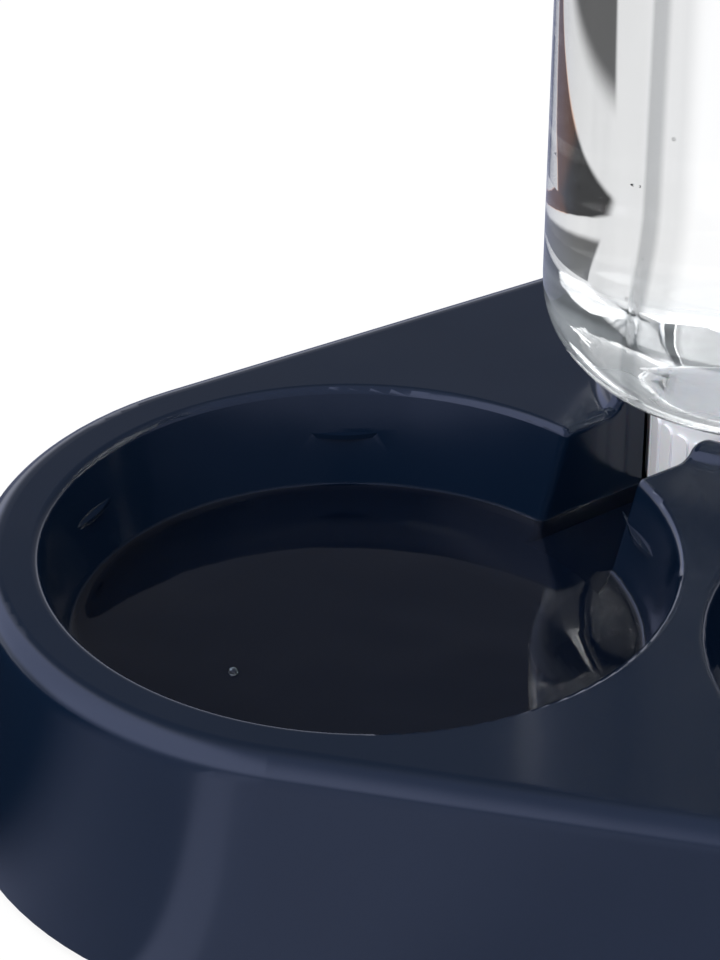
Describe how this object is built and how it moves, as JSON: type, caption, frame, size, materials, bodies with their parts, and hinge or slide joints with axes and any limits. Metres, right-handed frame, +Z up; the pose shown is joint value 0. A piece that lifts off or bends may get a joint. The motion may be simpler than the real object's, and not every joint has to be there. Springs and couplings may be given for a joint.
{
  "type": "double cat bowl with water dispenser",
  "caption": "Dark navy double bowl for a cat, with a clear water bottle standing upside down in a seat that feeds the left bowl.",
  "frame": {"origin": "on the floor, under the middle of the whole object's length and depth", "axes": "+X from the water bowl on the left to the food bowl on the right, +Y from the bowls to the bottle at the back, +Z up"},
  "size_m": [0.299, 0.2366, 0.225],
  "materials": {
    "navy_plastic": "gloss",
    "clear_plastic": "clear gloss",
    "cap_plastic": "satin",
    "valve_plastic": "satin",
    "seal_rubber": "matte",
    "foot_rubber": "matte",
    "spring_steel": "drawn wire"
  },
  "bodies": {
    "base_body": {"base": "navy_plastic", "bottle": "clear_plastic", "bottle_cap": "cap_plastic", "cap_seal": "seal_rubber", "valve_cage": "valve_plastic", "valve_spring": "spring_steel", "foot_front_left": "foot_rubber", "foot_front_right": "foot_rubber", "foot_back_left": "foot_rubber", "foot_back_right": "foot_rubber"},
    "valve_body": {"valve_plunger": "valve_plastic", "valve_seal": "seal_rubber"}
  },
  "joints": [
    {"name": "valve_slide", "type": "slide", "parent": "base_body", "child": "valve_body", "axis": [0, 0, 1], "range_m": [0, 0.003], "stiffness_N_per_m": 40, "springref_m": -0.003, "deforming": ["valve_spring"]}
  ]
}
